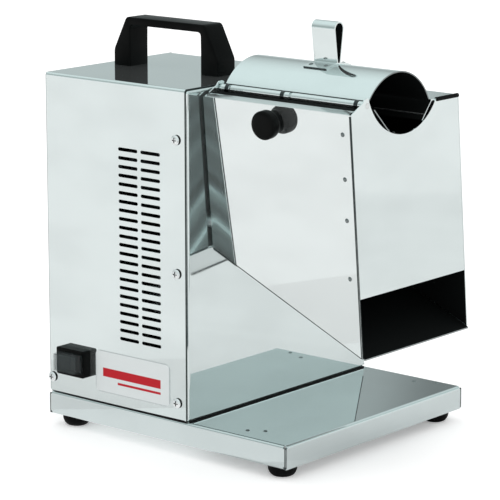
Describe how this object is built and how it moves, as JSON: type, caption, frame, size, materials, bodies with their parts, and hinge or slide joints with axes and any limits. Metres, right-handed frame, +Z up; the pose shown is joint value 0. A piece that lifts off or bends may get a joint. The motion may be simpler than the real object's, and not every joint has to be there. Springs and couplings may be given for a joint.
{
  "type": "electric corn grater",
  "caption": "Table-top electric corn grater: polished steel motor housing on a tray, leaning grating chamber with a round feed mouth, hinged curved lid and open chute.",
  "frame": {"origin": "bottom centre of the overall box, on the surface that the feet stand on", "axes": "+Z up, +X from the motor end to the outlet, +Y from the vented side to the far side"},
  "size_m": [0.385, 0.306, 0.431],
  "materials": {
    "polished_steel": "mirror polished stainless sheet",
    "plain_steel": "plain stainless sheet and rivets",
    "zinc_steel": "zinc plated fasteners and ground shafts",
    "black_plastic": "black moulded plastic",
    "rocker_plastic": "dark grey moulded plastic",
    "clear_boot": "clear grey soft boot",
    "black_rubber": "black rubber",
    "label": "blank satin label",
    "cast_metal": "cast aluminium",
    "copper": "copper windings on laminations",
    "grey_paint": "dark grey paint",
    "pale_plastic": "pale moulded plastic"
  },
  "bodies": {
    "machine": {"base_tray": "polished_steel", "rubber_feet": "black_rubber", "foot_screws": "zinc_steel", "tray_rivets": "plain_steel", "side_panel": "polished_steel", "top_cover": "polished_steel", "far_panel": "polished_steel", "drive_end_plate": "polished_steel", "rear_end_plate": "polished_steel", "plate_bolts": "zinc_steel", "cover_screws": "polished_steel", "carry_handle": "black_plastic", "handle_screws": "zinc_steel", "switch_body": "black_plastic", "switch_boot": "clear_boot", "label_plate": "label", "cable_gland": "black_plastic", "motor_shell": "cast_metal", "motor_stator": "copper", "motor_front_bell": "cast_metal", "motor_rear_bell": "cast_metal", "motor_cradle": "grey_paint", "motor_bolts": "zinc_steel", "run_capacitor": "pale_plastic", "capacitor_clip": "grey_paint", "terminal_block": "pale_plastic", "drive_belt": "black_rubber", "bearing_housing": "cast_metal", "front_bearing": "zinc_steel", "rear_bearing": "zinc_steel", "housing_bolts": "zinc_steel", "shaft_seal": "black_rubber", "chamber_inner_plate": "plain_steel", "chamber_outer_plate": "polished_steel", "chamber_front_plate": "polished_steel", "chamber_far_plate": "plain_steel", "chute_floor": "polished_steel", "chamber_rivets": "plain_steel", "chamber_bolts": "zinc_steel", "chamber_spacers": "zinc_steel", "near_guide": "plain_steel", "far_guide": "plain_steel", "hinge_rod": "polished_steel", "knob_stud": "zinc_steel"},
    "lid": {"feed_lid": "polished_steel", "lid_loop": "polished_steel", "lid_rivets": "plain_steel"},
    "drum": {"drum_shaft": "zinc_steel", "driven_pulley": "cast_metal", "grater_drum": "plain_steel", "drum_nut": "polished_steel"},
    "rotor": {"motor_rotor": "zinc_steel", "motor_fan": "black_plastic", "motor_pulley": "cast_metal"},
    "rocker": {"switch_rocker": "rocker_plastic"},
    "knob": {"clamp_knob": "black_plastic"}
  },
  "joints": [
    {"name": "lid_hinge", "type": "hinge", "parent": "machine", "child": "lid", "pos_m": [0.101, -0.08714, 0.36333], "axis": [1, 0, 0], "range_deg": [0, 110]},
    {"name": "drum_spin", "type": "hinge", "parent": "machine", "child": "drum", "pos_m": [0.0085, -0.026, 0.283], "axis": [1, 0, 0], "continuous": true},
    {"name": "motor_spin", "type": "hinge", "parent": "machine", "child": "rotor", "pos_m": [-0.086, -0.006, 0.124], "axis": [1, 0, 0], "continuous": true},
    {"name": "switch_tip", "type": "hinge", "parent": "machine", "child": "rocker", "pos_m": [-0.1415, -0.13875, 0.074], "axis": [0, 0, -1], "range_deg": [0, 16]},
    {"name": "knob_turn", "type": "hinge", "parent": "machine", "child": "knob", "pos_m": [0.0995, -0.11126, 0.342], "axis": [0, -0.9957, -0.0924], "continuous": true}
  ],
  "couplings": [
    {"joint": "motor_spin", "follows": "drum_spin", "ratio": 1.5}
  ]
}
